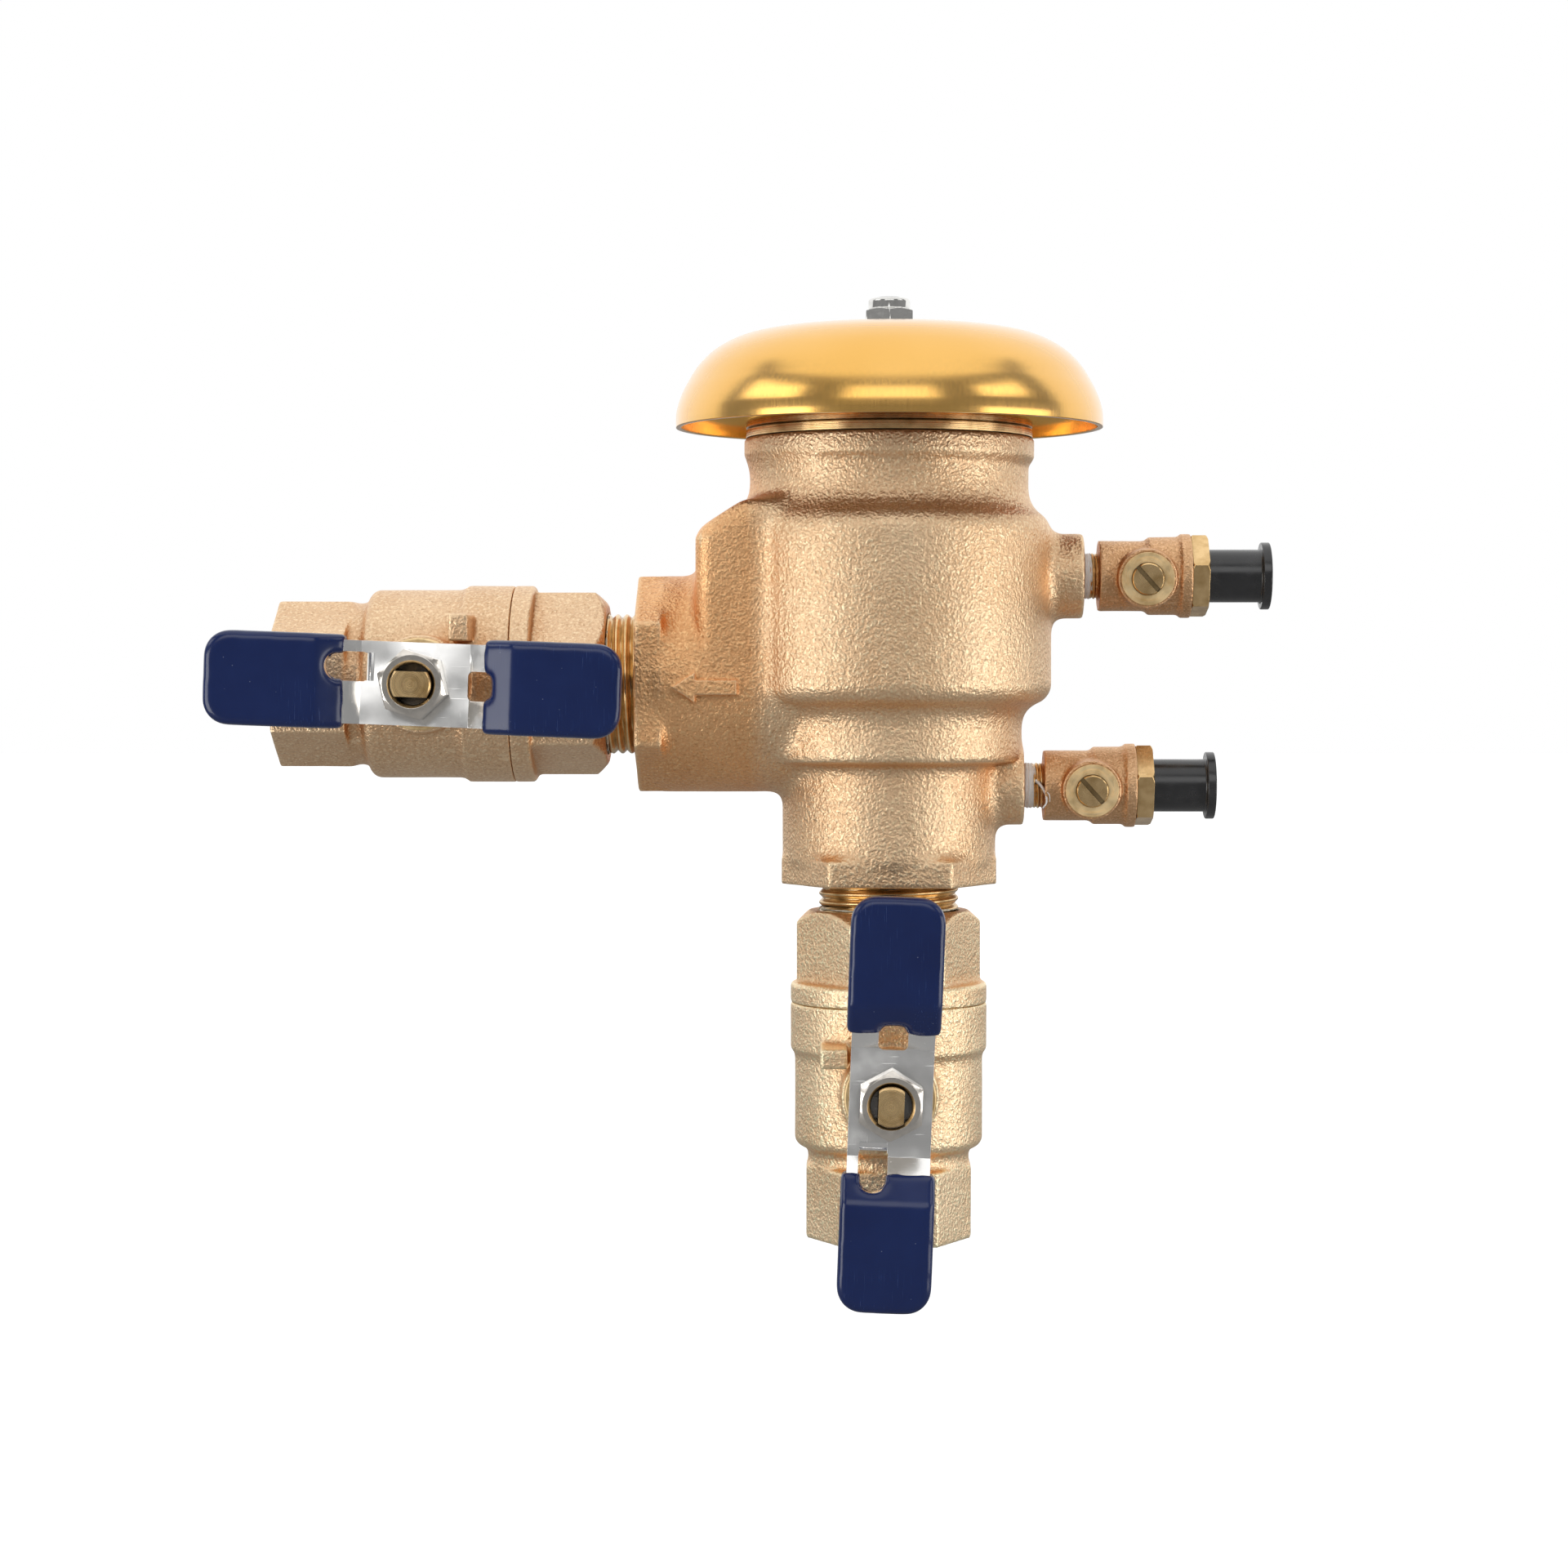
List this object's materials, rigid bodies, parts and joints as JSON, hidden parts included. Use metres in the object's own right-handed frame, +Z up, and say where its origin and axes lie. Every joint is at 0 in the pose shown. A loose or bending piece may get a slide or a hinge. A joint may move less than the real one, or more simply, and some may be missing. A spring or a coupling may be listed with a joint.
{
  "type": "backflow preventer",
  "caption": "Pressure vacuum breaker: bronze body with domed canopy, a ball valve with T handle at inlet and outlet, and plugged test cocks.",
  "frame": {"origin": "centre of the inlet valve's lower threaded end face", "axes": "+Z up along the inlet pipe, -X towards the outlet, -Y front, the side of the handles"},
  "size_m": [0.2479, 0.102, 0.2362],
  "materials": {
    "cast_bronze": "sand-cast bronze, matte with a fine sparkling grain",
    "machined_brass": "turned brass, satin",
    "gold_canopy": "gold anodised spun sheet, satin",
    "zinc_steel": "bright zinc-plated steel",
    "nickel": "nickel-plated, bright",
    "stainless": "stainless steel, satin",
    "navy_vinyl": "dipped vinyl, glossy",
    "black_plastic": "moulded polyethylene, satin",
    "white_ptfe": "PTFE, matte",
    "black_rubber": "moulded rubber",
    "acetal": "moulded acetal",
    "chromed_brass": "chrome-plated brass ball, polished"
  },
  "bodies": {
    "housing": {"body_casting": "cast_bronze", "inlet_nipple": "machined_brass", "outlet_nipple": "machined_brass", "check_seat": "machined_brass", "check_seat_o_ring": "black_rubber", "check_guide": "acetal", "check_spring": "stainless", "bonnet": "machined_brass", "bonnet_o_ring": "black_rubber", "air_inlet_spring": "stainless", "canopy": "gold_canopy", "canopy_stud": "stainless", "canopy_nut": "stainless", "canopy_nut_insert": "white_ptfe", "inlet_valve_body": "cast_bronze", "inlet_valve_tailpiece": "cast_bronze", "inlet_ball_seats": "white_ptfe", "inlet_stem_packing": "white_ptfe", "inlet_gland": "machined_brass", "outlet_valve_body": "cast_bronze", "outlet_valve_tailpiece": "cast_bronze", "outlet_ball_seats": "white_ptfe", "outlet_stem_packing": "white_ptfe", "outlet_gland": "machined_brass", "upper_cock_body": "cast_bronze", "upper_cock_end_fitting": "machined_brass", "upper_cock_seats": "white_ptfe", "upper_cock_stem_ring": "machined_brass", "upper_cock_stem_o_ring": "black_rubber", "upper_cock_thread_tape": "white_ptfe", "lower_cock_body": "cast_bronze", "lower_cock_end_fitting": "machined_brass", "lower_cock_seats": "white_ptfe", "lower_cock_stem_ring": "machined_brass", "lower_cock_stem_o_ring": "black_rubber", "lower_cock_thread_tape": "white_ptfe"},
    "check_valve": {"check_poppet": "acetal", "check_disc": "black_rubber", "check_disc_retainer": "stainless"},
    "air_inlet": {"air_inlet_float": "acetal", "air_inlet_disc": "black_rubber", "air_inlet_retainer": "stainless"},
    "inlet_handle": {"inlet_handle_plate": "zinc_steel", "inlet_handle_grips": "navy_vinyl", "inlet_handle_nut": "nickel", "inlet_stem": "machined_brass", "inlet_ball": "chromed_brass"},
    "outlet_handle": {"outlet_handle_plate": "zinc_steel", "outlet_handle_grips": "navy_vinyl", "outlet_handle_nut": "nickel", "outlet_stem": "machined_brass", "outlet_ball": "chromed_brass"},
    "upper_cock_turn": {"upper_cock_stem": "machined_brass", "upper_cock_ball": "chromed_brass"},
    "upper_cock_plug": {"upper_cock_plug": "black_plastic"},
    "lower_cock_turn": {"lower_cock_stem": "machined_brass", "lower_cock_ball": "chromed_brass"},
    "lower_cock_plug": {"lower_cock_plug": "black_plastic"}
  },
  "joints": [
    {"name": "inlet_handle_turn", "type": "hinge", "parent": "housing", "child": "inlet_handle", "pos_m": [0, 0, 0.0363], "axis": [0, 1, 0], "range_deg": [-2, 88]},
    {"name": "outlet_handle_turn", "type": "hinge", "parent": "housing", "child": "outlet_handle", "pos_m": [-0.1094, 0, 0.1326], "axis": [0, 1, 0], "range_deg": [-2, 88]},
    {"name": "check_lift", "type": "slide", "parent": "housing", "child": "check_valve", "axis": [0, 0, 1], "range_m": [0, 0.008], "stiffness_N_per_m": 300, "springref_m": -0.011, "deforming": ["check_spring"]},
    {"name": "air_inlet_lift", "type": "slide", "parent": "housing", "child": "air_inlet", "axis": [0, 0, 1], "range_m": [0, 0.007], "stiffness_N_per_m": 80, "springref_m": -0.0125, "deforming": ["air_inlet_spring"]},
    {"name": "upper_cock_stem_turn", "type": "hinge", "parent": "housing", "child": "upper_cock_turn", "pos_m": [0.061, 0, 0.1584], "axis": [0, 0.9962, 0.0872], "range_deg": [-48, 42]},
    {"name": "upper_cock_plug_pull", "type": "slide", "parent": "housing", "child": "upper_cock_plug", "axis": [1, 0, 0], "range_m": [0, 0.012]},
    {"name": "lower_cock_stem_turn", "type": "hinge", "parent": "housing", "child": "lower_cock_turn", "pos_m": [0.048, 0, 0.1083], "axis": [0, 0.9962, 0.0872], "range_deg": [-48, 42]},
    {"name": "lower_cock_plug_pull", "type": "slide", "parent": "housing", "child": "lower_cock_plug", "axis": [1, 0, 0], "range_m": [0, 0.012]}
  ]
}
